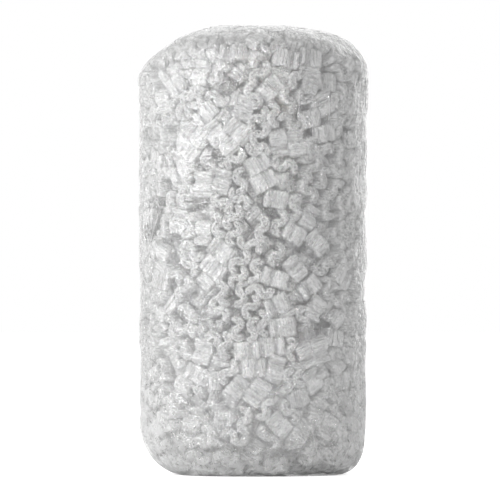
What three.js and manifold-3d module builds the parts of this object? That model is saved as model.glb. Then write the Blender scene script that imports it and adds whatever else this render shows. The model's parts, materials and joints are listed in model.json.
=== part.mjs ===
// A clear film bag of S-shaped foam packing peanuts, standing on its flat base.
//
// The bag is one skin of thin polyethylene: tube film, welded straight across at both ends, filled until it is
// taut. It is nearly round, a little shallower than it is wide and a little narrower at the foot, with a soft
// corner round the base and broad, uneven shoulders. Two small punched holes at the back let the air out.
//
// The charge inside it is loose foam. Most of it is one joined solid, levelled off below the crown. The peanuts
// of the head space above that level are separate solids, dropped in one at a time.
//
// Millimetres, +Z up. The origin is the middle of the base, +X is the bag's right and -Y its front.
import * as THREE from "three";
import { mergeVertices } from "three/addons/utils/BufferGeometryUtils.js";
import Module from "manifold-3d";

const wasm = await Module();
wasm.setup();

// Driving dimensions of the bag.
const HEIGHT = 610;
const FOOT_RADIUS = 153.5;
const HEAD_RADIUS = 158.5;
const DEPTH_TO_WIDTH = 0.96;
const FILM_THICKNESS = 0.05;

// Each corner of the outline is a quarter of a superellipse: how far it reaches in, how far up or down, and its
// exponent. They change round the bag, between these values on its right, on its left, and at its front and back.
const SHOULDER = {
  right: { run: 150, rise: 66, power: 2.35 },
  left: { run: 128, rise: 72, power: 1.6 },
  front: { run: 92, rise: 52, power: 2.2 },
};
const HEEL = {
  right: { run: 38, rise: 50, power: 2.0 },
  left: { run: 55, rise: 61, power: 1.75 },
  front: { run: 46, rise: 55, power: 1.9 },
};

const WELD = { length: 240, width: 12, thickness: 0.5, sink: 0.35, y: 8, pieces: 40, rows: 4 };
const VENT = { radius: 3, height: 470, spread: 60, sides: 16 };

// The foam.
const FILL_GAP = 1;
const FILL_TOP = 512;
const STRAND_THICKNESS = 10.4;
const STRAND_BEND_RADIUS = 6.9;
const STRAND_TURN = THREE.MathUtils.degToRad(185);
const PEANUT_DEPTH = 25;
const PEANUT_COUNT = 58;
const DROP_TRIES = 500;
const DROP_CLEARANCE = 0.5;

// How finely curved faces are cut into flat ones.
const ROUND_STEPS = 44;
const CORNER_STEPS = 12;
const WALL_STEPS = 5;
const STRAND_STEPS = 10;

const FILM = new THREE.MeshStandardMaterial({
  color: 0xf2f4f5,
  roughness: 0.12,
  metalness: 0,
  transparent: true,
  opacity: 0.3,
});
const FOAM = new THREE.MeshStandardMaterial({ color: 0xf1f1ef, roughness: 0.75, metalness: 0 });

// ---------------------------------------------------------------------------------------------- the bag's form

const blend = (corner, key, angle) => {
  const side = THREE.MathUtils.lerp(corner.left[key], corner.right[key], (1 + Math.cos(angle)) / 2);
  return THREE.MathUtils.lerp(side, corner.front[key], Math.sin(angle) ** 2);
};

const cornerAt = (corner, angle) => ({
  run: blend(corner, "run", angle),
  rise: blend(corner, "rise", angle),
  power: blend(corner, "power", angle),
});

// A superellipse's other coordinate, both as shares of its half axes.
const across = (share, power) => (1 - THREE.MathUtils.clamp(share, 0, 1) ** power) ** (1 / power);

// The wall's radius at a height, before either corner draws it in.
const wallRadius = (z) => THREE.MathUtils.lerp(FOOT_RADIUS, HEAD_RADIUS, z / HEIGHT);

// The outline of the bag at one angle, from the middle of the base to the middle of the crown, as [radius, z].
function outline(angle) {
  const heel = cornerAt(HEEL, angle);
  const shoulder = cornerAt(SHOULDER, angle);
  const points = [[0, 0]];
  for (let i = 0; i <= CORNER_STEPS; i++) {
    const turn = ((i / CORNER_STEPS) * Math.PI) / 2;
    const z = heel.rise * (1 - Math.cos(turn) ** (2 / heel.power));
    points.push([wallRadius(z) - heel.run * (1 - Math.sin(turn) ** (2 / heel.power)), z]);
  }
  const wallTop = HEIGHT - shoulder.rise;
  for (let i = 1; i < WALL_STEPS; i++) {
    const z = THREE.MathUtils.lerp(heel.rise, wallTop, i / WALL_STEPS);
    points.push([wallRadius(z), z]);
  }
  for (let i = 0; i <= CORNER_STEPS; i++) {
    const turn = ((i / CORNER_STEPS) * Math.PI) / 2;
    const z = wallTop + shoulder.rise * Math.sin(turn) ** (2 / shoulder.power);
    points.push([wallRadius(z) - shoulder.run * (1 - Math.cos(turn) ** (2 / shoulder.power)), z]);
  }
  points.push([0, HEIGHT]);
  return points;
}

// An outline moved in by a distance, square to itself, so that every wall of the bag's form stays that far away.
function inset(points, distance) {
  return points.map(([r, z], i) => {
    const [r0, z0] = points[Math.max(i - 1, 0)];
    const [r1, z1] = points[Math.min(i + 1, points.length - 1)];
    const long = Math.hypot(r1 - r0, z1 - z0);
    const onAxis = i === 0 || i === points.length - 1;
    return [onAxis ? 0 : r - (distance * (z1 - z0)) / long, z + (distance * (r1 - r0)) / long];
  });
}

// The closed skin of the bag's form, moved in by a distance.
function form(distance) {
  const rings = Array.from({ length: ROUND_STEPS }, (_, j) => {
    const angle = (j / ROUND_STEPS) * 2 * Math.PI;
    return inset(outline(angle), distance).map(([r, z]) => [
      r * Math.cos(angle),
      r * Math.sin(angle) * DEPTH_TO_WIDTH,
      z,
    ]);
  });
  const levels = rings[0].length;
  const position = rings.flat(2);
  const index = [];
  for (let j = 0; j < ROUND_STEPS; j++) {
    const here = j * levels;
    const next = ((j + 1) % ROUND_STEPS) * levels;
    for (let k = 0; k < levels - 1; k++) {
      if (k > 0) index.push(here + k, next + k, next + k + 1);
      if (k === 0) index.push(here, next + 1, here + 1);
      else if (k < levels - 2) index.push(here + k, next + k + 1, here + k + 1);
    }
  }
  return solid(new THREE.BufferGeometry()
    .setAttribute("position", new THREE.Float32BufferAttribute(position, 3))
    .setIndex(index));
}

// ----------------------------------------------------------------------------- three.js geometry and its solids

function solid(geometry) {
  const bare = geometry.clone();
  bare.deleteAttribute("normal");
  bare.deleteAttribute("uv");
  const merged = mergeVertices(bare, 1e-3);
  return new wasm.Manifold(
    new wasm.Mesh({
      numProp: 3,
      vertProperties: merged.attributes.position.array,
      triVerts: new Uint32Array(merged.index.array),
    }),
  );
}

function geometryOf(made) {
  const mesh = made.getMesh();
  return new THREE.BufferGeometry()
    .setAttribute("position", new THREE.BufferAttribute(mesh.vertProperties, 3))
    .setIndex(new THREE.BufferAttribute(mesh.triVerts, 1));
}

function box(width, depth, height, x, y, z) {
  return solid(new THREE.BoxGeometry(width, depth, height).translate(x, y, z));
}

// ---------------------------------------------------------------------------------------------------- the film

// The height of the crown's skin above a point of the floor plan.
function crownHeight(x, y) {
  const angle = Math.atan2(y / DEPTH_TO_WIDTH, x);
  const radius = Math.hypot(x, y / DEPTH_TO_WIDTH);
  const { run, rise, power } = cornerAt(SHOULDER, angle);
  return HEIGHT - rise * (1 - across((radius - wallRadius(HEIGHT) + run) / run, power));
}

// The end weld: a flat fin of doubled film, folded down across the crown.
function weldFin() {
  const strip = new THREE.BoxGeometry(WELD.length, WELD.width, WELD.thickness, WELD.pieces, WELD.rows, 1);
  const at = strip.attributes.position;
  for (let i = 0; i < at.count; i++) {
    const y = at.getY(i) + WELD.y;
    const lift = at.getZ(i) + WELD.thickness / 2 - WELD.sink;
    at.setXYZ(i, at.getX(i), y, crownHeight(at.getX(i), y) + lift);
  }
  return solid(strip);
}

function ventPunch(side) {
  const punch = new THREE.CylinderGeometry(VENT.radius, VENT.radius, HEAD_RADIUS, VENT.sides);
  return solid(punch.translate(side * VENT.spread, HEAD_RADIUS, VENT.height));
}

function filmBag() {
  return form(0)
    .add(weldFin())
    .subtract(form(FILM_THICKNESS))
    .subtract(ventPunch(-1))
    .subtract(ventPunch(1));
}

// ---------------------------------------------------------------------------------------------------- the foam

// The charge up to its level top: the bag's form, moved in clear of the film and cut off flat.
function peanutFill() {
  const above = HEIGHT - FILL_TOP;
  return form(FILL_GAP).subtract(
    box(3 * HEAD_RADIUS, 3 * HEAD_RADIUS, above, 0, 0, FILL_TOP + above / 2),
  );
}

// The S of one peanut: two equal bends that turn opposite ways, from tip to tip, with the strand's sideways
// direction at each station.
function strandStations() {
  return Array.from({ length: STRAND_STEPS + 1 }, (_, i) => {
    const along = (2 * i) / STRAND_STEPS - 1;
    const turn = Math.abs(along) * STRAND_TURN;
    const side = Math.sign(along);
    return {
      at: new THREE.Vector3(
        -side * STRAND_BEND_RADIUS * Math.sin(turn),
        side * STRAND_BEND_RADIUS * (1 - Math.cos(turn)),
        0,
      ),
      sideways: new THREE.Vector3(-Math.sin(turn), -Math.cos(turn), 0),
    };
  });
}

// The strand's section, as shares of its half thickness and half depth: flat cut faces with eased edges.
const STRAND_SECTION = [
  [-1, -0.78],
  [-0.72, -1],
  [0.72, -1],
  [1, -0.78],
  [1, 0.78],
  [0.72, 1],
  [-0.72, 1],
  [-1, 0.78],
];

function peanutGeometry() {
  const ring = STRAND_SECTION.length;
  const position = strandStations().flatMap(({ at, sideways }) =>
    STRAND_SECTION.flatMap(([wide, deep]) =>
      at
        .clone()
        .addScaledVector(sideways, (wide * STRAND_THICKNESS) / 2)
        .setZ((deep * PEANUT_DEPTH) / 2)
        .toArray(),
    ),
  );
  const index = [];
  for (let i = 0; i < STRAND_STEPS; i++) {
    for (let k = 0; k < ring; k++) {
      const a = i * ring + k;
      const b = i * ring + ((k + 1) % ring);
      index.push(a, b + ring, a + ring, a, b, b + ring);
    }
  }
  const last = STRAND_STEPS * ring;
  for (let k = 1; k < ring - 1; k++) {
    index.push(0, k + 1, k);
    index.push(last, last + k, last + k + 1);
  }
  return new THREE.BufferGeometry()
    .setAttribute("position", new THREE.Float32BufferAttribute(position, 3))
    .setIndex(index);
}

// -------------------------------------------------------------------------------------- the head space's peanuts

// Balls that hold the whole of one peanut, in rows through its depth, stand for it while it is dropped.
const BALL_RADIUS = 7.1;
const BALL_ROWS = [-9, -3, 3, 9];
const BALLS = strandStations().flatMap(({ at }) => BALL_ROWS.map((z) => at.clone().setZ(z)));

// A repeatable stream of numbers from 0 to 1.
function randomStream(seed) {
  let state = seed;
  return () => {
    state = (Math.imul(state, 1664525) + 1013904223) >>> 0;
    return state / 2 ** 32;
  };
}

function randomTurn(random) {
  const [u, v, w] = [random(), random() * 2 * Math.PI, random() * 2 * Math.PI];
  return new THREE.Quaternion(
    Math.sqrt(1 - u) * Math.sin(v),
    Math.sqrt(1 - u) * Math.cos(v),
    Math.sqrt(u) * Math.sin(w),
    Math.sqrt(u) * Math.cos(w),
  );
}

// How far a point is inside the shoulders: its distance from the line between the skin beside it and the skin
// above it, which is never more than its distance from the skin.
function insideShoulder(point) {
  const angle = Math.atan2(point.y / DEPTH_TO_WIDTH, point.x);
  const { run, rise, power } = cornerAt(SHOULDER, angle);
  const climbed = (point.z - (HEIGHT - rise)) / rise;
  const skinRadius = wallRadius(point.z) - run * (1 - across(climbed, power));
  const beside = DEPTH_TO_WIDTH * (skinRadius - Math.hypot(point.x, point.y / DEPTH_TO_WIDTH));
  const above = crownHeight(point.x, point.y) - point.z;
  return beside > 0 && above > 0 ? (beside * above) / Math.hypot(beside, above) : -1;
}

// The height at which a peanut's balls, let down from above, first meet the level fill or another ball.
function landingHeight(balls, placed) {
  const reach = 2 * BALL_RADIUS + DROP_CLEARANCE;
  let height = -Infinity;
  for (const ball of balls) {
    height = Math.max(height, FILL_TOP + BALL_RADIUS + DROP_CLEARANCE - ball.z);
    for (const other of placed) {
      const apart = (ball.x - other.x) ** 2 + (ball.y - other.y) ** 2;
      if (apart < reach ** 2) height = Math.max(height, other.z + Math.sqrt(reach ** 2 - apart) - ball.z);
    }
  }
  return height;
}

// Each peanut is let down in many places and turns, and keeps the lowest place that is clear of the film.
function droppedPeanuts() {
  const random = randomStream(5);
  const placed = [];
  const poses = [];
  for (let n = 0; n < PEANUT_COUNT; n++) {
    let best = null;
    for (let i = 0; i < DROP_TRIES; i++) {
      const angle = random() * 2 * Math.PI;
      const radius = HEAD_RADIUS * Math.sqrt(random());
      const turn = randomTurn(random);
      const start = new THREE.Vector3(radius * Math.cos(angle), radius * Math.sin(angle), 0);
      const balls = BALLS.map((ball) => ball.clone().applyQuaternion(turn).add(start));
      const height = landingHeight(balls, placed);
      if (best && height >= best.at.z) continue;
      balls.forEach((ball) => ball.setZ(ball.z + height));
      if (balls.every((ball) => insideShoulder(ball) > BALL_RADIUS + DROP_CLEARANCE))
        best = { at: start.setZ(height), turn, balls };
    }
    if (!best) break;
    placed.push(...best.balls);
    poses.push(best);
  }
  return poses;
}

// ------------------------------------------------------------------------------------------------- the assembly

function piece(name, geometry, material) {
  const mesh = new THREE.Mesh(geometry, material);
  mesh.name = name;
  return mesh;
}

const bag = new THREE.Group();
bag.name = "packing_peanut_bag";
bag.add(piece("film_bag", geometryOf(filmBag()), FILM));
bag.add(piece("peanut_fill", geometryOf(peanutFill()), FOAM));

const loosePeanuts = new THREE.Group();
const peanut = peanutGeometry();
droppedPeanuts().forEach(({ at, turn }, i) => {
  const loose = piece(`peanut_${String(i + 1).padStart(2, "0")}`, peanut, FOAM);
  loose.position.copy(at);
  loose.quaternion.copy(turn);
  loosePeanuts.add(loose);
});
bag.add(loosePeanuts);

export default bag;
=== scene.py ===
"""A clear film bag packed full of S-shaped foam packing peanuts, standing on its flat base.

It is built in the order that the real one is packed: the room that the taut film leaves, one peanut, the
loose peanuts of the head space, the charge below them, and the film pulled tight over it all. The studio
comes last. Lengths are in metres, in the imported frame: +Z up, -Y the front, the middle of the base at the
origin.
"""

import json

import bmesh
import bpy
import numpy as np
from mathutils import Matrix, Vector

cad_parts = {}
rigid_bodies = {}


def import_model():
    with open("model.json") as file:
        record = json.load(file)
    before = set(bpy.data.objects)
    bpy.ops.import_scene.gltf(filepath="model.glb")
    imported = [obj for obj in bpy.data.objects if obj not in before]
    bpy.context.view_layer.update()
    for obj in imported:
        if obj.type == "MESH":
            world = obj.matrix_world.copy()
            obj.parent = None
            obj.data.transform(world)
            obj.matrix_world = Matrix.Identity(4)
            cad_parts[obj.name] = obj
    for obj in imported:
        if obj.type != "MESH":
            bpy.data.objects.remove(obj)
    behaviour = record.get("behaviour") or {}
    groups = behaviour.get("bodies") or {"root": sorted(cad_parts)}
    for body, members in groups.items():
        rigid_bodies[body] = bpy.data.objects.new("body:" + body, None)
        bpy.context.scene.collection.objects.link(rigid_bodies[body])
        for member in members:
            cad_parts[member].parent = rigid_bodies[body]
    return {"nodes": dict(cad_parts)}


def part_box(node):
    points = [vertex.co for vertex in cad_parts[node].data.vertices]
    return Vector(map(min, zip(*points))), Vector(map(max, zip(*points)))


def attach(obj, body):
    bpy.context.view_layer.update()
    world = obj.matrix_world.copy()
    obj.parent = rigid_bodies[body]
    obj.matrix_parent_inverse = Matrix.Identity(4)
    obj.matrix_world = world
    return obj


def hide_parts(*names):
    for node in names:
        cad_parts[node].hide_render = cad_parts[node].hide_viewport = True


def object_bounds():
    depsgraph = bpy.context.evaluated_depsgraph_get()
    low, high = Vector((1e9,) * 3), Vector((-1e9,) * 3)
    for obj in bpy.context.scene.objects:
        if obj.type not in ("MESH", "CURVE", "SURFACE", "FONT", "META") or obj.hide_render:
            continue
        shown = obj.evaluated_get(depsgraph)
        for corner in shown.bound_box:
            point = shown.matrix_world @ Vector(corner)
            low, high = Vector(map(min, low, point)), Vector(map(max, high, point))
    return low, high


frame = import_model()
cad_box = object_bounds()


# ------------------------------------------------------------------------------------ the room in the bag
# Filled tube film is nearly round, a little shallower than wide and narrower at the foot. Its heel is a
# soft corner and its shoulders are broad and uneven, the left one cut away more than the right.

bag_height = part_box("film_bag")[1].z
FOOT_RADIUS = 0.1535
HEAD_RADIUS = 0.1585
DEPTH_TO_WIDTH = 0.96

# Each corner is a quarter of a superellipse: its reach in, its reach up or down, and its exponent, first on
# the right of the bag, then on the left, and then at the front and back.
SHOULDER = np.array([[0.150, 0.066, 2.35], [0.128, 0.072, 1.6], [0.092, 0.052, 2.2]])
HEEL = np.array([[0.038, 0.050, 2.0], [0.055, 0.061, 1.75], [0.046, 0.055, 1.9]])


def corner_at(corner, angle):
    """The corner's three numbers at each angle round the bag: blended by the cosine from right to left, and
    then by the sine squared towards the front and back."""
    right = (1 + np.cos(angle))[..., None] / 2
    front = np.sin(angle)[..., None] ** 2
    side = corner[0] * right + corner[1] * (1 - right)
    return np.moveaxis(side * (1 - front) + corner[2] * front, -1, 0)


def wall_radius(z):
    """The wall's radius at a height, before a corner draws it in: a straight taper from foot to head."""
    return FOOT_RADIUS + (HEAD_RADIUS - FOOT_RADIUS) * z / bag_height


def depth_and_normal(points):
    """How far points are inside the skin, and the way out.

    The skin is where (outward share)^p + (share up or down)^p = 1 in the nearer corner. The distance to it
    is that sum less 1, over the length of its gradient, which is true near the skin.
    """
    x, y, z = points[:, 0], points[:, 1] / DEPTH_TO_WIDTH, points[:, 2]
    radius = np.hypot(x, y) + 1e-9
    angle = np.arctan2(y, x)
    upper = z > bag_height / 2
    run, rise, power = np.where(upper, corner_at(SHOULDER, angle), corner_at(HEEL, angle))
    outward = np.clip((radius - wall_radius(z)) / run + 1, 0, None)
    upright = np.clip(np.where(upper, z - bag_height, -z) / rise + 1, 0, None)
    slope = power * outward ** (power - 1) / run
    climb = power * upright ** (power - 1) / rise * np.where(upper, 1, -1)
    gradient = np.stack([slope * x / radius, slope * y / radius / DEPTH_TO_WIDTH, climb], axis=1)
    steepness = np.linalg.norm(gradient, axis=1) + 1e-9
    return (1 - outward**power - upright**power) / steepness, gradient / steepness[:, None]


# --------------------------------------------------------------------------------------------- one peanut
# Loose fill is foam, extruded through an S-shaped die and sliced: a strand with two hooked bends and round
# tips, ribbed along its skin by the die, and two flat cut faces with open cells. No two foam up to quite
# the same size.

STRAND_THICKNESS = 0.0104
BEND_RADIUS = 0.0069
BEND_TURN = np.radians(168)
TIP_LENGTH = 0.0048
PEANUT_DEPTH = 0.025
FILM_ROOM = 0.0004
RIB_HEIGHT = 0.0007
LUMP_HEIGHT = 0.0003
PATTERN_STEP = 0.031

# Rings of the strand from tip to tip: where each lies along the bends, 1 being the end of a bend, and how
# thick it is there. The cage is drawn round the strand, because the smoothing that follows draws it in.
RING_PLACE = np.array([-2, -1, -0.714, -0.429, -0.143, 0.143, 0.429, 0.714, 1, 2])
RING_WIDTH = np.array([0.62, 1.12, 1.16, 1.16, 1.16, 1.16, 1.16, 1.16, 1.12, 0.62])
CAGE_SPREAD = 1.12

# The ring itself, as shares of the half thickness and the half depth.
RING_SHAPE = np.array(
    [
        [-1, -0.78],
        [-0.68, -1.02],
        [0.68, -1.02],
        [1, -0.78],
        [1, 0.78],
        [0.68, 1.02],
        [-0.68, 1.02],
        [-1, 0.78],
    ]
)


def strand_line(place, bend, turn, spread=1):
    """Points of the S and their sideways directions: two arcs side by side that turn opposite ways, each
    drawn round its own middle by the spread, with a straight tip past a place of 1."""
    swept = np.clip(np.abs(place), 0, 1) * turn
    past = np.clip(np.abs(place) - 1, 0, 1) * TIP_LENGTH
    outline = [-np.sin(swept) * bend * spread - np.cos(swept) * past, bend - np.cos(swept) * bend * spread]
    line = np.stack([outline[0], outline[1] + np.sin(swept) * past]) * np.sign(place)
    sideways = np.stack([-np.sin(swept), -np.cos(swept)])
    return np.moveaxis(line, 0, -1), np.moveaxis(sideways, 0, -1)


def peanut_cages(rng, count):
    """Control cages of peanuts in their own frames, count x rings x ring points x 3.

    Each is the ring shape carried along its own S. Size, bend and hook vary by a few per cent from one to
    the next. Ribs as deep as the peanut thicken or thin either side of the strand, and low lumps push the
    corners about.
    """
    vary = rng.uniform(-1, 1, (5, count, 1))
    bend = BEND_RADIUS * (1 + 0.07 * vary[0])
    turn = BEND_TURN * (1 + 0.1 * vary[1])
    thick = STRAND_THICKNESS / 2 * (1 + 0.09 * vary[2]) * RING_WIDTH
    deep = PEANUT_DEPTH / 2 * (1 + 0.07 * vary[3])
    ribs = rng.normal(0, RIB_HEIGHT, (count, len(RING_PLACE), 2))
    ribs = np.where(RING_SHAPE[:, 0] > 0, ribs[..., 1:], -ribs[..., :1])
    line, sideways = strand_line(RING_PLACE[None], bend, turn, CAGE_SPREAD)
    across = thick[..., None] * RING_SHAPE[:, 0] + ribs
    flat = line[:, :, None] + sideways[:, :, None] * across[..., None]
    through = np.broadcast_to(deep[..., None] * RING_SHAPE[:, 1], flat.shape[:3])
    bowed = through + 0.04 * vary[4][..., None] * flat[..., 1]
    lumps = rng.normal(0, LUMP_HEIGHT, flat.shape[:3] + (3,))
    return np.concatenate([flat, bowed[..., None]], axis=3) + lumps


def cage_faces():
    """Quads of one cage: four-sided faces between neighbouring rings, and three across each end."""
    rings, points = len(RING_PLACE), len(RING_SHAPE)
    ring, point = np.meshgrid(np.arange(rings - 1), np.arange(points), indexing="ij")
    here = ring * points + point
    after = ring * points + (point + 1) % points
    sides = np.stack([here, after, after + points, here + points], axis=-1).reshape(-1, 4)
    cap = np.array([[0, 7, 2, 1], [7, 6, 3, 2], [6, 5, 4, 3]])
    return np.concatenate([sides, cap, cap[:, ::-1] + (rings - 1) * points])


CAGE_FACES = cage_faces()


def foam_piece(name, own, centre, turned, shade, smooth):
    """A mesh of many peanuts: each cage turned and moved to its place. What would stand out through the
    film is pressed in along its normal. Three attributes serve the foam: each corner's place in its
    peanut's own frame, its shares across and through the strand, and the peanut's shade."""
    count, points = own.shape[0], own.shape[1] * own.shape[2]
    own = own.reshape(count, points, 3)
    placed = (np.einsum("nij,npj->npi", turned, own) + centre[:, None]).reshape(-1, 3)
    depth, outward = depth_and_normal(placed)
    placed -= outward * np.clip(FILM_ROOM - depth, 0, None)[:, None]
    apart = own + np.arange(count)[:, None, None] * PATTERN_STEP
    shares = np.tile(np.pad(RING_SHAPE, ((0, 0), (0, 1))), (count * len(RING_PLACE), 1))
    faces = CAGE_FACES[None] + (np.arange(count) * points)[:, None, None]
    mesh = bpy.data.meshes.new(name)
    mesh.from_pydata(placed, [], faces.reshape(-1, 4))
    own_place = mesh.attributes.new("own_place", "FLOAT_VECTOR", "POINT")
    own_place.data.foreach_set("vector", apart.ravel())
    strand_share = mesh.attributes.new("strand_share", "FLOAT_VECTOR", "POINT")
    strand_share.data.foreach_set("vector", shares.ravel())
    mesh.attributes.new("shade", "FLOAT", "POINT").data.foreach_set("value", np.repeat(shade, points))
    mesh.shade_smooth()
    mesh.materials.append(foam)
    piece = bpy.data.objects.new(name, mesh)
    bpy.context.collection.objects.link(piece)
    if smooth:
        rounding = piece.modifiers.new("foam_rounding", "SUBSURF")
        rounding.levels = rounding.render_levels = smooth
    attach(piece, "root")
    return piece


def new_material(name):
    """An empty node material and its tree."""
    made = bpy.data.materials.new(name)
    made.use_nodes = True
    made.node_tree.nodes.clear()
    return made, made.node_tree


def add_node(tree, kind, **settings):
    """A shader node with its sockets or properties set, and its sockets linked where a socket is given."""
    node = tree.nodes.new(kind)
    for key, value in settings.items():
        if hasattr(node, key):
            setattr(node, key, value)
            continue
        socket = node.inputs[int(key[3:])] if key.startswith("in_") else node.inputs[key.replace("_", " ")]
        if isinstance(value, bpy.types.NodeSocket):
            tree.links.new(value, socket)
        else:
            socket.default_value = value
    return node


def blend_range(tree, value, low, high, start=0.0, end=1.0):
    """A value taken from one range to another and held at its ends, eased at both."""
    eased = add_node(tree, "ShaderNodeMapRange", interpolation_type="SMOOTHSTEP", in_0=value)
    for socket, number in zip(eased.inputs[1:5], (low, high, start, end)):
        socket.default_value = number
    return eased.outputs[0]


def reckon(tree, operation, first, second):
    """The result of one sum on two numbers or sockets."""
    return add_node(tree, "ShaderNodeMath", operation=operation, in_0=first, in_1=second).outputs[0]


def noise(tree, place, **settings):
    """A cloud of noise over a surface: one number at each place."""
    return add_node(tree, "ShaderNodeTexNoise", Vector=place, **settings).outputs[0]


def bumped(tree, height, distance, below=None, strength=1.0):
    """The normal of a surface raised by a height map, over another relief if there is one."""
    under = {} if below is None else {"Normal": below}
    bump = add_node(tree, "ShaderNodeBump", Strength=strength, Distance=distance, Height=height, **under)
    return bump.outputs[0]


def foam_material():
    """White closed-cell foam: ribbed along the extrusion on its skin, pitted on its cut faces, and a little
    greyer or whiter from peanut to peanut. Its colour also holds painted light: a painted highlight on the
    rims of the cut faces, painted shade across the cut faces, and painted shade in the grooves of the ribs
    and in the pits."""
    made, tree = new_material("white_foam")
    own = add_node(tree, "ShaderNodeAttribute", attribute_name="own_place").outputs["Vector"]
    shade = add_node(tree, "ShaderNodeAttribute", attribute_name="shade").outputs["Fac"]
    shares = add_node(tree, "ShaderNodeAttribute", attribute_name="strand_share").outputs["Vector"]
    shares = add_node(tree, "ShaderNodeVectorMath", operation="ABSOLUTE", in_0=shares).outputs[0]
    shares = add_node(tree, "ShaderNodeSeparateXYZ", in_0=shares).outputs
    on_cut = blend_range(tree, shares[1], 0.93, 1.0)
    near_side = blend_range(tree, shares[0], 0.35, 0.85)
    painted_rim_highlight = reckon(tree, "MULTIPLY", near_side, blend_range(tree, shares[1], 0.7, 0.95))

    rib_place = add_node(tree, "ShaderNodeMapping", in_0=own, Scale=(300, 300, 14)).outputs[0]
    ribs = noise(tree, rib_place, Scale=1.0, Detail=3.0, Roughness=0.62)
    pits = noise(tree, own, Scale=260.0, Detail=2.0, Roughness=0.6)
    grain = add_node(tree, "ShaderNodeMix", data_type="FLOAT", in_0=on_cut, in_2=ribs, in_3=pits).outputs[0]
    lumps = noise(tree, own, Scale=170.0, Detail=2.0)
    relief = bumped(tree, grain, 0.0095)
    relief = bumped(tree, lumps, 0.0060, relief, strength=0.8)

    tone = add_node(tree, "ShaderNodeMapRange", in_0=shade, in_3=0.85, in_4=0.90).outputs[0]
    # Painted highlight: the rims of the cut faces are made whiter, standing in for the light that their edges
    # and the film pressed on them catch.
    tone = reckon(tree, "ADD", tone, reckon(tree, "MULTIPLY", painted_rim_highlight, 0.12))
    # Painted shade: the cut faces are made greyer, standing in for the shade inside a dished face, which the
    # mesh doesn't have.
    tone = reckon(tree, "SUBTRACT", tone, reckon(tree, "MULTIPLY", on_cut, 0.10))
    # Painted shade: the low parts of the grain, the grooves between the ribs and the pits of the cut faces,
    # are made darker.
    painted_groove_shade = blend_range(tree, grain, 0.56, 0.40)
    tone = reckon(tree, "SUBTRACT", tone, reckon(tree, "MULTIPLY", painted_groove_shade, 0.26))
    colour = add_node(tree, "ShaderNodeCombineColor", in_0=tone, in_1=tone, in_2=tone).outputs[0]
    body = add_node(
        tree,
        "ShaderNodeBsdfPrincipled",
        Base_Color=colour,
        Roughness=0.42,
        Subsurface_Weight=0.05,
        Subsurface_Radius=(0.003, 0.003, 0.003),
        Subsurface_Scale=1.0,
        Normal=relief,
    )
    add_node(tree, "ShaderNodeOutputMaterial", Surface=body.outputs[0])
    return made


foam = foam_material()


# ------------------------------------------------------------------------------- the head space's peanuts
# The last peanuts dropped in before the bag is closed. Each stands for a CAD node of its own, and lies
# where that node does, turned the same way.

def lie_of(points):
    """The middle and the three axes of a peanut's corners.

    An S prism is the same seen from behind, so its corners average to its middle, and their spread gives
    its axes: least across the S, most through its depth. The mean of long^3 x short tells an S from its
    mirror image.
    """
    middle = points.mean(axis=0)
    arms = points - middle
    axes = np.linalg.eigh(arms.T @ arms)[1]
    short, long = (arms @ axes[:, :2]).T
    axes[:, 0] *= np.sign((long**3 * short).mean())
    axes[:, 2] *= np.sign(np.linalg.det(axes))
    return middle, axes


rng = np.random.default_rng(7)
numbered = [name for name in frame["nodes"] if name.startswith("peanut_") and name[-1].isdigit()]
head_nodes = sorted(numbered)
own_head = peanut_cages(rng, len(head_nodes))
plain_line, plain_sideways = strand_line(np.linspace(-1, 1, 9), BEND_RADIUS, BEND_TURN)
plain_sides = (np.array([-1, 1]) * STRAND_THICKNESS / 2)[:, None]
plain_flat = (plain_line[:, None] + plain_sideways[:, None] * plain_sides).reshape(-1, 2)
plain_ends = (-PEANUT_DEPTH / 2, PEANUT_DEPTH / 2)
plain_cage = np.array([[x, y, z] for x, y in plain_flat for z in plain_ends])
own_axes = lie_of(plain_cage)[1]

head_centre, head_turned = [], []
for node_name in head_nodes:
    corners = np.array([corner.co for corner in frame["nodes"][node_name].data.vertices])
    middle, axes = lie_of(np.unique(corners.round(6), axis=0))
    head_centre.append(middle)
    head_turned.append(axes @ own_axes.T)
head_centre, head_turned = np.array(head_centre), np.array(head_turned)
for number, node_name in enumerate(head_nodes):
    one = slice(number, number + 1)
    shade = rng.uniform(0, 1, 1)
    loose = foam_piece(
        f"loose_{node_name}", own_head[one], head_centre[one], head_turned[one], shade, smooth=1
    )
    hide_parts(node_name)


# --------------------------------------------------------------------------------------------- the charge
# Over two thousand peanuts poured in below and pushed apart until they nearly part. A share of those against
# the film turn a cut face to it.

CHARGE_COUNT = 2200
SETTLING_STEPS = 700
BALL_RADIUS = 0.0052
BALL_PLACES = np.linspace(-1.05, 1.05, 7)
BALL_ROWS = np.array([-1, 0, 1]) * (PEANUT_DEPTH / 2 - BALL_RADIUS)
SKIN_ROOM = 0.0005
FACING_SHARE = 0.52
FACING_TURN = 0.014
OUTWARD_DRIFT = 0.00035
SKIN_NEAR, SKIN_BLEND = 0.013, 0.025
START_DEPTH = 0.012
EVEN_FOOT = 0.03
SEARCH_MARGIN, SEARCH_AGAIN = 0.003, 0.0012
DENT_DEPTH = 0.0045
DENT_WAVES = np.array([[88, 31, 55], [-47, 92, 61], [39, -66, 97], [71, 58, -83]])

ball_line = strand_line(BALL_PLACES, BEND_RADIUS, BEND_TURN)[0]
BALLS = np.array([[x, y, z] for x, y in ball_line for z in BALL_ROWS])
GYRATION = (BALLS**2).sum(axis=1).mean()


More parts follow.
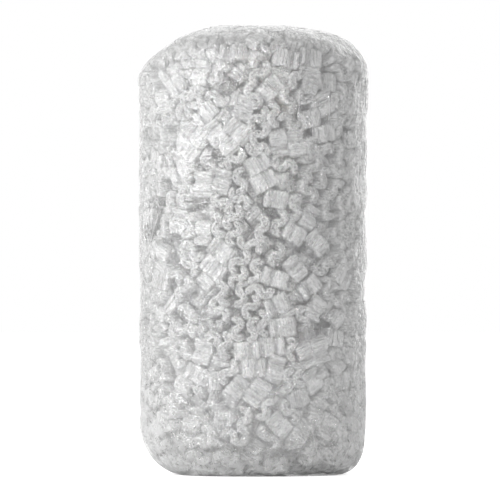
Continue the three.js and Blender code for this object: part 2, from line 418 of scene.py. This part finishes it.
def close_pairs(points, owner, reach):
    """Pairs of points on different peanuts that are nearer than a reach.

    Each point is filed in a grid of cells of that size. Its partners are the later points of its own cell
    and all the points of 13 neighbouring cells, which lie in unbroken runs of the sorted file.
    """
    cell = np.floor(points / reach).astype(np.int64) + 64
    code = (cell[:, 0] * 256 + cell[:, 1]) * 256 + cell[:, 2]
    order = np.argsort(code, kind="stable")
    filed = code[order]
    rank = np.arange(len(points))
    near = (-1, 0, 1)
    steps = [(i, j, k) for i in near for j in near for k in near if (i, j, k) > (0, 0, 0)]
    runs = [(rank + 1, np.searchsorted(filed, filed, "right"))]
    for i, j, k in steps:
        wanted = filed + (i * 256 + j) * 256 + k
        runs.append((np.searchsorted(filed, wanted, "left"), np.searchsorted(filed, wanted, "right")))
    first, second = [], []
    for start, end in runs:
        length = np.maximum(end - start, 0)
        within = np.arange(length.sum()) - np.repeat(np.cumsum(length) - length, length)
        first.append(order[np.repeat(rank, length)])
        second.append(order[within + np.repeat(start, length)])
    first, second = np.concatenate(first), np.concatenate(second)
    gap = ((points[first] - points[second]) ** 2).sum(axis=1)
    close = (owner[first] != owner[second]) & (gap < reach**2)
    return first[close], second[close]


def small_turns(vectors):
    """Rotation matrices of rotation vectors, by Rodrigues' formula."""
    angle = np.linalg.norm(vectors, axis=1)
    x, y, z = (vectors / np.maximum(angle, 1e-12)[:, None]).T
    none = np.zeros_like(x)
    skew = np.stack([none, -z, y, z, none, -x, -y, x, none], axis=1).reshape(-1, 3, 3)
    angle = angle[:, None, None]
    return np.eye(3) + np.sin(angle) * skew + (1 - np.cos(angle)) * (skew @ skew)


def totals(owner, vectors, count):
    """Sums of vectors by owner."""
    return np.stack([np.bincount(owner, vectors[:, i], count) for i in range(3)], axis=1)


def pour(rng, count, fixed_centre, fixed_turned):
    """Places of the charge: peanuts scattered small through the bag, then grown to size while they are
    pushed apart.

    Balls along each strand stand for it. Every overlap moves and turns its two peanuts as much as it takes
    to part them, shared as a blow at that point would share it, and averaged over all of a peanut's
    overlaps. Some overlap is left at the end. The film pushes back inwards the same way, but it isn't even:
    a sum of four sine waves dents it, and tilts what lies on it. Until late on, the outer peanuts are drawn
    against it, and a share of them turn a cut face to it.
    """
    centre = np.empty((0, 3))
    while len(centre) < count:
        tries = rng.uniform(cad_box[0], cad_box[1], (4 * count, 3))
        centre = np.concatenate([centre, tries[depth_and_normal(tries)[0] > START_DEPTH]])
    centre = np.concatenate([centre[:count], fixed_centre])
    turned = np.concatenate([small_turns(rng.normal(0, 2, (count, 3))), fixed_turned])
    everyone = len(centre)
    free = (np.arange(everyone) < count).astype(float)
    facing = free * (np.arange(everyone) % 100 < 100 * FACING_SHARE)
    owner = np.repeat(np.arange(everyone), len(BALLS))
    moved = np.inf
    for step in range(SETTLING_STEPS):
        share = step / SETTLING_STEPS
        size = np.where(free > 0, min(1, 0.5 + 0.65 * share), 1)
        arms = np.einsum("nij,mj->nmi", turned, BALLS) * size[:, None, None]
        points = (centre[:, None] + arms).reshape(-1, 3)
        arms = arms.reshape(-1, 3)
        radius = BALL_RADIUS * np.repeat(size, len(BALLS))
        if moved > SEARCH_AGAIN:
            pairs = close_pairs(points, owner, 2 * BALL_RADIUS + SEARCH_MARGIN)
            moved = 0

        first, second = pairs
        gap = points[first] - points[second]
        apart = np.linalg.norm(gap, axis=1) + 1e-9
        overlap = radius[first] + radius[second] - apart
        hit = overlap > 0
        first, second, overlap = first[hit], second[hit], overlap[hit]
        push = gap[hit] / apart[hit, None]
        depth, outward = depth_and_normal(points)
        waves = np.sin(points @ DENT_WAVES.T).sum(axis=1)
        dented = DENT_DEPTH * (0.5 + waves / 5) * (points[:, 2] > EVEN_FOOT)
        proud = radius + SKIN_ROOM + np.clip(dented, 0, None) - depth
        walled = np.nonzero(proud > 0)[0]

        ball = np.concatenate([first, second, walled])
        push = np.concatenate([push, -push, -outward[walled]])
        twist = np.cross(arms[ball], push)
        give = free[owner[ball]] * (1 + (twist**2).sum(axis=1) / GYRATION)
        pair_give = give[: len(first)] + give[len(first) : 2 * len(first)] + 1e-9
        wall_give = give[2 * len(first) :] + 1e-9
        blow = np.concatenate([overlap / pair_give, overlap / pair_give, proud[walled] / wall_give])
        blows = np.bincount(owner[ball], minlength=everyone)
        ease = (free * 1.6 / np.maximum(blows, 1.6))[:, None]
        shift = totals(owner[ball], push * blow[:, None], everyone) * ease
        spin = totals(owner[ball], twist * blow[:, None], everyone) / GYRATION * ease
        if share < 0.9:
            middle_depth, middle_outward = depth_and_normal(centre)
            near_skin = np.clip(1 - (middle_depth - SKIN_NEAR) / SKIN_BLEND, 0, 1)
            shift += middle_outward * (near_skin * OUTWARD_DRIFT * free)[:, None]
            length_way = turned[:, :, 2]
            length_way = length_way * np.sign((length_way * middle_outward).sum(axis=1))[:, None]
            spin += np.cross(length_way, middle_outward) * (near_skin * FACING_TURN * facing)[:, None]
        centre = centre + shift
        turned = small_turns(spin) @ turned
        moved += np.percentile(np.abs(shift), 99.5) + 0.0001
    return centre[:count], turned[:count]


charge_centre, charge_turned = pour(rng, CHARGE_COUNT, head_centre, head_turned)
own_charge = peanut_cages(rng, CHARGE_COUNT)
charge_shade = rng.uniform(0, 1, CHARGE_COUNT)

# Only the peanuts near the film can be seen, and they are rounded off. They are grouped by tier up the bag,
# and those deep inside by lower and upper part, which keeps each piece below 200,000 triangles.
SEEN_DEPTH = 0.034
TIERS = 5
charge_depth = depth_and_normal(charge_centre)[0]
seen = charge_depth < SEEN_DEPTH
tier = np.clip(charge_centre[:, 2] / bag_height * TIERS, 0, TIERS - 1).astype(int)
groups = {f"peanuts_tier_{level + 1}": seen & (tier == level) for level in range(TIERS)}
groups["peanuts_inside_low"] = ~seen & (tier < TIERS // 2)
groups["peanuts_inside_high"] = ~seen & (tier >= TIERS // 2)
for piece_name, chosen in groups.items():
    group = foam_piece(
        piece_name,
        own_charge[chosen],
        charge_centre[chosen],
        charge_turned[chosen],
        charge_shade[chosen],
        smooth=0 if piece_name.startswith("peanuts_inside") else 1,
    )
    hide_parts("peanut_fill")


# ------------------------------------------------------------------------------------------- the film bag
# One skin of clear polyethylene, 0.05 mm thick, pulled tight over the peanuts that stand proudest. It is
# gathered in at the crown and tucked in at the heel, which leaves creases, and two vent holes are punched
# at the back.

AROUND = 360
BASE_RINGS, HEEL_RINGS, WALL_RINGS, SHOULDER_RINGS, CROWN_RINGS = 6, 26, 165, 50, 8
SLACK = 0.004
FILM_CLEARANCE = 0.0003
FOAM_REACH = 0.008
CROWN_RIDGE = 0.0012
TAUTENING_STEPS = 60
TUCK_HEIGHT = 0.20
VENT_RADIUS = 0.003
VENT_HEIGHT = 0.470
VENT_SPREAD = 0.060


def film_grid():
    """Points of the bag's form, angles x levels x 3, from near the middle of the base up to near that of
    the crown.

    At each angle the outline runs out along the base, round the heel, up the wall, round the shoulder and
    in across the crown. A corner's points lie at even turns of its superellipse.
    """
    angle = np.arange(AROUND) / AROUND * 2 * np.pi
    heel_run, heel_rise, heel_power = corner_at(HEEL, angle)[..., None]
    top_run, top_rise, top_power = corner_at(SHOULDER, angle)[..., None]
    heel_turn = np.linspace(0, np.pi / 2, HEEL_RINGS + 1)[:-1]
    heel_z = heel_rise * (1 - np.cos(heel_turn) ** (2 / heel_power))
    heel_radius = wall_radius(heel_z) - heel_run * (1 - np.sin(heel_turn) ** (2 / heel_power))
    base_radius = heel_radius[:, :1] * np.linspace(0, 1, BASE_RINGS + 1)[1:-1]
    wall_z = heel_rise + (bag_height - top_rise - heel_rise) * np.linspace(0, 1, WALL_RINGS + 1)[:-1]
    top_turn = np.linspace(0, np.pi / 2, SHOULDER_RINGS + 1)
    top_z = bag_height - top_rise * (1 - np.sin(top_turn) ** (2 / top_power))
    top_radius = wall_radius(top_z) - top_run * (1 - np.cos(top_turn) ** (2 / top_power))
    crown_radius = top_radius[:, -1:] * np.linspace(1, 0, CROWN_RINGS + 1)[1:-1]
    radius = np.concatenate([base_radius, heel_radius, wall_radius(wall_z), top_radius, crown_radius], axis=1)
    flat_base, flat_crown = np.zeros_like(base_radius), np.full_like(crown_radius, bag_height)
    z = np.concatenate([flat_base, heel_z, wall_z, top_z, flat_crown], axis=1)
    x, y = radius * np.cos(angle)[:, None], radius * np.sin(angle)[:, None] * DEPTH_TO_WIDTH
    return np.stack([x, y, z], axis=2)


def rounded_points(pieces):
    """The corners of pieces as they are after their modifiers."""
    depsgraph = bpy.context.evaluated_depsgraph_get()
    found = []
    for piece in pieces:
        mesh = piece.evaluated_get(depsgraph).data
        points = np.empty(3 * len(mesh.vertices), np.float32)
        mesh.vertices.foreach_get("co", points)
        found.append(points.reshape(-1, 3).astype(float))
    return np.concatenate(found)


def foam_height(grid, outward, foam_points):
    """How far the foam stands out from each point of the grid, along its normal: the highest of the foam's
    corners that are nearest to that point, with every reading spread to its neighbours."""
    foam_points = foam_points[depth_and_normal(foam_points)[0] < FOAM_REACH]
    angle = np.arctan2(foam_points[:, 1] / DEPTH_TO_WIDTH, foam_points[:, 0])
    column = np.round(angle / (2 * np.pi) * AROUND).astype(int) % AROUND
    height = np.full(grid.shape[:2], -SLACK)
    for part in np.array_split(np.arange(len(foam_points)), 24):
        away = foam_points[part, None] - grid[column[part]]
        level = (away**2).sum(axis=2).argmin(axis=1)
        rise = (away[np.arange(len(part)), level] * outward[column[part], level]).sum(axis=1)
        np.maximum.at(height, (column[part], level), rise)
    for axis in (0, 1):
        height = np.max([np.roll(height, step, axis) for step in (-1, 0, 1)], axis=0)
    return height


def drawn_tight(height):
    """A membrane over the foam: each point settles to the mean of its four neighbours, unless foam holds it
    up."""
    film = height.copy()
    for _ in range(TAUTENING_STEPS):
        level = np.pad(film, ((0, 0), (1, 1)), mode="edge")
        mean = (np.roll(film, 1, 0) + np.roll(film, -1, 0) + level[:, 2:] + level[:, :-2]) / 4
        film = np.maximum(height, mean)
    return film


def creases(rng, grid, count, first, reach, lean, height, width):
    """Ridges of folded film over the grid, count of them.

    Each runs from a height up the outline, first +- a spread, for a reach of length, and leans sideways by
    up to the lean. It stands as high as exp(-distance / width) times its height, and tapers out at both its
    ends.
    """
    climb = np.linalg.norm(np.diff(grid, axis=1, prepend=grid[:, :1]), axis=2).cumsum(axis=1)
    angle = (np.arange(AROUND) / AROUND * 2 * np.pi)[:, None]
    radius = np.hypot(grid[..., 0], grid[..., 1])
    ridges = np.zeros(grid.shape[:2])
    for _ in range(count):
        place = rng.uniform(0, 2 * np.pi)
        start = first[0] + first[1] * rng.uniform(-1, 1)
        length = reach * rng.uniform(0.4, 1)
        slope = lean * rng.uniform(-1, 1)
        along = (climb - start) / length
        sideways = (np.mod(angle - place + np.pi, 2 * np.pi) - np.pi) * radius - slope * (climb - start)
        fade = np.sin(np.clip(along, 0, 1) * np.pi) ** 0.6
        crest = np.exp(-np.abs(sideways) / (width * rng.uniform(0.6, 1.4)))
        ridges = np.maximum(ridges, height * rng.uniform(0.3, 1) * fade * crest)
    return ridges


def film_mesh(grid):
    """The skin over the grid, with a fan of faces at each pole. Each vent is the opening left by the faces
    whose middles it takes in, and the corners round it are drawn to its circle."""
    levels = grid.shape[1]
    poles = np.array([[0, 0, grid[0, 0, 2]], [0, 0, grid[:, -1, 2].mean()]])
    points = np.concatenate([grid.reshape(-1, 3), poles])
    column, level = np.meshgrid(np.arange(AROUND), np.arange(levels - 1), indexing="ij")
    here = column * levels + level
    beside = (column + 1) % AROUND * levels + level
    walls = np.stack([here, beside, beside + 1, here + 1], axis=-1).reshape(-1, 4)
    for side in (-VENT_SPREAD, VENT_SPREAD):
        middles = points[walls].mean(axis=1)
        away = np.hypot(middles[:, 0] - side, middles[:, 2] - VENT_HEIGHT) + 9 * (middles[:, 1] < 0)
        punched = away < VENT_RADIUS * 1.1
        rim = np.intersect1d(walls[punched], walls[~punched])
        spokes = points[rim][:, [0, 2]] - (side, VENT_HEIGHT)
        spokes *= VENT_RADIUS / np.linalg.norm(spokes, axis=1, keepdims=True)
        points[rim[:, None], [[0, 2]]] = spokes + (side, VENT_HEIGHT)
        walls = walls[~punched]
    foot = np.arange(AROUND) * levels
    head = foot + levels - 1
    base_pole, crown_pole = np.full(AROUND, len(points) - 2), np.full(AROUND, len(points) - 1)
    base_fan = np.stack([base_pole, np.roll(foot, -1), foot], axis=1)
    crown_fan = np.stack([crown_pole, head, np.roll(head, -1)], axis=1)
    fans = np.concatenate([base_fan, crown_fan])
    mesh = bpy.data.meshes.new("film")
    mesh.from_pydata(points, [], walls.tolist() + fans.tolist())
    tucked = mesh.attributes.new("tucked", "FLOAT", "POINT")
    tucked.data.foreach_set("value", np.clip(1 - points[:, 2] / TUCK_HEIGHT, 0, 1))
    loose = bmesh.new()
    loose.from_mesh(mesh)
    bmesh.ops.delete(loose, geom=[corner for corner in loose.verts if not corner.link_faces], context="VERTS")
    loose.to_mesh(mesh)
    loose.free()
    mesh.shade_smooth()
    return mesh


def film_material():
    """Clear film, crumpled by handling: it mirrors a little where it is met square on and much more at a
    slant, a milky haze grows the same way and where it is tucked under, and sharp creases and fine crinkles
    break its gloss up into glints. Along the creases it has whitened."""
    made, tree = new_material("clear_film")
    place = add_node(tree, "ShaderNodeTexCoord").outputs["Object"]
    tucked = add_node(tree, "ShaderNodeAttribute", attribute_name="tucked").outputs["Fac"]
    drift = add_node(tree, "ShaderNodeTexNoise", Vector=place, Scale=24.0, Detail=2.0).outputs["Color"]
    drift = add_node(tree, "ShaderNodeVectorMath", operation="SCALE", in_0=drift, Scale=0.008).outputs[0]
    warped = add_node(tree, "ShaderNodeVectorMath", operation="ADD", in_0=place, in_1=drift).outputs[0]
    cells = add_node(tree, "ShaderNodeTexVoronoi", feature="DISTANCE_TO_EDGE", Vector=place, Scale=15.0)
    fold_mask = noise(tree, place, Scale=11.0, Detail=1.0)
    folds = blend_range(tree, cells.outputs[0], 0.028, 0.0)
    folds = reckon(tree, "MULTIPLY", folds, blend_range(tree, fold_mask, 0.55, 0.68))
    crumple = noise(tree, warped, noise_type="RIDGED_MULTIFRACTAL", Scale=40.0, Detail=2.0)
    crinkle = noise(tree, warped, Scale=115.0, Detail=4.0, Roughness=0.6)
    facets = add_node(tree, "ShaderNodeTexVoronoi", Vector=warped, Scale=105.0).outputs[0]

    bump = bumped(tree, crumple, 0.0008)
    bump = bumped(tree, crinkle, 0.0040, bump)
    bump = bumped(tree, facets, 0.0016, bump)
    bump = bumped(tree, folds, 0.0010, bump)
    slant = add_node(tree, "ShaderNodeLayerWeight", Blend=0.5).outputs["Facing"]
    facet = add_node(tree, "ShaderNodeLayerWeight", Blend=0.5, Normal=bump).outputs["Facing"]
    milkier = reckon(tree, "MULTIPLY", tucked, 0.20)
    haze = reckon(tree, "ADD", reckon(tree, "MULTIPLY", slant, 0.34), milkier)
    haze = reckon(tree, "MULTIPLY", haze, blend_range(tree, crinkle, 0.35, 0.65, 0.6, 1.4))
    haze = reckon(tree, "ADD", haze, reckon(tree, "MULTIPLY", folds, 0.28))
    haze = add_node(tree, "ShaderNodeMapRange", in_0=haze, in_3=0.11, in_4=0.92).outputs[0]
    clear = add_node(tree, "ShaderNodeBsdfTransparent", Color=(1, 1, 1, 1)).outputs[0]
    milk = add_node(tree, "ShaderNodeBsdfDiffuse", Color=(0.86, 0.86, 0.86, 1), Normal=bump).outputs[0]
    hazy = add_node(tree, "ShaderNodeMixShader", in_0=haze, in_1=clear, in_2=milk).outputs[0]
    steep = reckon(tree, "POWER", facet, 4.0)
    mirrored = add_node(tree, "ShaderNodeMapRange", in_0=steep, in_3=0.10, in_4=0.34)
    gloss = add_node(tree, "ShaderNodeBsdfGlossy", Color=(1, 1, 1, 1), Roughness=0.08, Normal=bump).outputs[0]
    skin = add_node(tree, "ShaderNodeMixShader", in_0=mirrored.outputs[0], in_1=hazy, in_2=gloss)
    add_node(tree, "ShaderNodeOutputMaterial", Surface=skin.outputs[0])
    return made


form = film_grid()
form_normal = depth_and_normal(form.reshape(-1, 3))[1].reshape(form.shape)
outer_names = ("peanuts_tier", "loose_")
foam_pieces = [piece for piece in bpy.context.collection.objects if piece.name.startswith(outer_names)]
tight = drawn_tight(foam_height(form, form_normal, rounded_points(foam_pieces))) + FILM_CLEARANCE
# Lengths up the outline start near the middle of the base, so the shoulder is about one radius and the
# height away.
shoulder_climb = 0.15 + bag_height
shoulder_creases = {"first": (shoulder_climb - 0.08, 0.05), "reach": 0.14, "lean": 0.35}
heel_creases = {"first": (0.10, 0.04), "reach": 0.11, "lean": 0.5}
wall_creases = {"first": (0.45, 0.25), "reach": 0.09, "lean": 1.2}
tight += creases(rng, form, 46, **shoulder_creases, height=0.0018, width=0.0030)
tight += creases(rng, form, 34, **heel_creases, height=0.0018, width=0.0028)
tight += creases(rng, form, 44, **wall_creases, height=0.0009, width=0.0026)
film_points = form + form_normal * tight[..., None]
above_crown = np.clip(film_points[..., 2] - bag_height, 0, None)
film_points[..., 2] += CROWN_RIDGE * np.tanh(above_crown / CROWN_RIDGE) - above_crown
film_points[..., 2] = np.clip(film_points[..., 2], 0, None)
film_points[:, :BASE_RINGS, 2] = 0
skin_mesh = film_mesh(film_points)
skin_mesh.materials.append(film_material())
film_skin = bpy.data.objects.new("film", skin_mesh)
bpy.context.collection.objects.link(film_skin)
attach(film_skin, "root")
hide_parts("film_bag")


# ------------------------------------------------------------------------------------------- the end weld
# The tube of film is closed at the top by one straight heat weld. Its flat double strip, with the film
# gathered into it in small waves, lies folded down on the crown.

WELD_LENGTH = 0.240
WELD_WIDTH = 0.012
WELD_BACK = 0.008
WELD_THICKNESS = 0.0003
WAVE_HEIGHT = 0.0006
ALONG_WELD, ACROSS_WELD = 180, 12


def weld_strip(crown_height):
    """A strip along X on the crown: its height is the crown's, plus waves along it that grow from its root
    to its free edge, as two sines whose lengths don't agree, and a shallow pressed band where it was
    welded."""
    shares = np.linspace(-1, 1, ALONG_WELD + 1), np.linspace(0, 1, ACROSS_WELD + 1)
    along, across = np.meshgrid(*shares, indexing="ij")
    waves = 1 + 0.6 * np.sin(31 * along + 0.8 * across) + 0.4 * np.sin(53 * along + 2.0)
    band = 0.00025 * np.exp(-(((across - 0.6) / 0.12) ** 2))
    x = along * WELD_LENGTH / 2
    y = WELD_BACK - WELD_WIDTH / 2 + across * WELD_WIDTH + 0.0006 * np.sin(24 * along)
    z = crown_height(x, y) + WELD_THICKNESS + across * WAVE_HEIGHT * waves - band
    return np.stack([x, y, z], axis=2)


def crown_height(x, y):
    """The film's height on the crown under each place, taken from the nearest point of its upper half."""
    upper = film_points[film_points[..., 2] > bag_height * 0.7]
    flat = np.stack([x.ravel(), y.ravel()], axis=1)
    nearest = []
    for part in np.array_split(flat, 60):
        away = upper[None, :, :2] - part[:, None]
        nearest.append((away**2).sum(axis=2).argmin(axis=1))
    return upper[np.concatenate(nearest), 2].reshape(x.shape)


strip = weld_strip(crown_height)
rows = ACROSS_WELD + 1
corner = (np.arange(ALONG_WELD)[:, None] * rows + np.arange(ACROSS_WELD)).ravel()
weld_mesh = bpy.data.meshes.new("film_weld")
weld_faces = np.stack([corner, corner + rows, corner + rows + 1, corner + 1], axis=1)
weld_mesh.from_pydata(strip.reshape(-1, 3), [], weld_faces)
weld_mesh.shade_smooth()
weld_mesh.materials.append(skin_mesh.materials[0])
weld = bpy.data.objects.new("film_weld", weld_mesh)
bpy.context.collection.objects.link(weld)
doubled = weld.modifiers.new("doubled_film", "SOLIDIFY")
doubled.thickness = WELD_THICKNESS
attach(weld, "root")
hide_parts("film_bag")


# --------------------------------------------------------------------------------------------- the studio
# A white floor that glows for the lens only, a room brighter on the left, a soft box on the left and a
# larger one behind. Three small hard lamps make sparkle, and three more are only mirrored in the film and
# light nothing.

FLOOR_HALF = 16.0


def pale_floor():
    """White paint, lit up to pure white where the lens looks at it."""
    made, tree = new_material("pale_floor")
    paint = add_node(tree, "ShaderNodeBsdfDiffuse", Color=(0.88, 0.88, 0.88, 1))
    seen = add_node(tree, "ShaderNodeLightPath").outputs["Is Camera Ray"]
    strength = reckon(tree, "MULTIPLY", seen, 0.62)
    glow = add_node(tree, "ShaderNodeEmission", Color=(1, 1, 1, 1), Strength=strength)
    both = add_node(tree, "ShaderNodeAddShader", in_0=paint.outputs[0], in_1=glow.outputs[0])
    add_node(tree, "ShaderNodeOutputMaterial", Surface=both.outputs[0])
    return made


floor_mesh = bpy.data.meshes.new("floor")
floor_signs = ((-1, -1), (1, -1), (1, 1), (-1, 1))
floor_corners = [(x * FLOOR_HALF, y * FLOOR_HALF, cad_box[0][2]) for x, y in floor_signs]
floor_mesh.from_pydata(floor_corners, [], [(0, 1, 2, 3)])
floor_mesh.materials.append(pale_floor())
floor = bpy.data.objects.new("floor", floor_mesh)
bpy.context.collection.objects.link(floor)

world = bpy.data.worlds.new("studio")
world.use_nodes = True
world.node_tree.nodes.clear()
room_tree = world.node_tree
seen_by_camera = add_node(room_tree, "ShaderNodeLightPath").outputs["Is Camera Ray"]
direction = add_node(room_tree, "ShaderNodeTexCoord").outputs["Generated"]
way = add_node(room_tree, "ShaderNodeSeparateXYZ", in_0=direction).outputs


def room_side(value, low, high, start, end):
    """The room's light along one way, taken from one strength to another."""
    side = add_node(room_tree, "ShaderNodeMapRange", in_0=value, in_1=low, in_2=high, in_3=start, in_4=end)
    return side.outputs[0]


room_glow = room_side(way[0], -1.0, 1.0, 1.05, 0.63)
for fading in ((way[1], -1.0, 0.0, 0.75, 1.0), (way[1], 0.0, 1.0, 1.0, 0.55), (way[2], 0.0, 1.0, 1.0, 0.62)):
    room_glow = reckon(room_tree, "MULTIPLY", room_glow, room_side(*fading))
room_light = add_node(
    room_tree, "ShaderNodeMix", data_type="FLOAT", in_0=seen_by_camera, in_2=room_glow, in_3=1.0
)
room = add_node(room_tree, "ShaderNodeBackground", Color=(1, 1, 1, 1), Strength=room_light.outputs[0])
add_node(room_tree, "ShaderNodeOutputWorld", Surface=room.outputs[0])
bpy.context.scene.world = world


def aim(thing, target):
    """Turns a lamp or a camera to look at a point."""
    way = Vector(target) - thing.location
    thing.rotation_euler = way.to_track_quat("-Z", "Y").to_euler()


def soft_box(name, place, width, height, power, only_mirrored=False):
    """A rectangular lamp that faces the middle of the bag. One that is only mirrored lights nothing, but
    shows in whatever is glossy."""
    data = bpy.data.lights.new(name, "AREA")
    data.shape = "RECTANGLE"
    data.size, data.size_y = width, height
    data.energy = power
    lamp = bpy.data.objects.new(name, data)
    lamp.location = place
    aim(lamp, (0, 0, bag_height / 2))
    lamp.visible_diffuse = not only_mirrored
    bpy.context.collection.objects.link(lamp)


soft_box("key", (-1.85, -0.9, 1.1), 0.5, 0.6, 22.0)
soft_box("back", (0.5, 2.3, 1.0), 1.8, 1.8, 25.0)
soft_box("high_sparkle", (-0.3, -1.9, 1.4), 0.06, 0.06, 9.0)
soft_box("left_sparkle", (-2.0, -0.5, 0.5), 0.08, 0.20, 6.0)
soft_box("right_sparkle", (1.1, -1.7, 0.5), 0.06, 0.08, 5.0)
soft_box("low_glint", (0.7, -1.9, 0.1), 0.04, 0.04, 10.0, only_mirrored=True)
soft_box("middle_glint", (-0.9, -1.8, 0.6), 0.04, 0.04, 10.0, only_mirrored=True)
soft_box("high_glint", (0.4, -1.7, 1.7), 0.04, 0.04, 10.0, only_mirrored=True)

CAMERA_DISTANCE = 12.0
CAMERA_RISE = np.radians(0.15)
CAMERA_LENS = 53.0 * CAMERA_DISTANCE
CAMERA_AIM = (-0.004, 0, bag_height / 2)
camera_data = bpy.data.cameras.new("camera")
camera_data.lens = CAMERA_LENS
camera = bpy.data.objects.new("camera", camera_data)
away = np.array([0, -np.cos(CAMERA_RISE), np.sin(CAMERA_RISE)]) * CAMERA_DISTANCE
camera.location = np.array(CAMERA_AIM) + away
aim(camera, CAMERA_AIM)
bpy.context.collection.objects.link(camera)
bpy.context.scene.camera = camera
bpy.context.scene.view_settings.view_transform = "Standard"
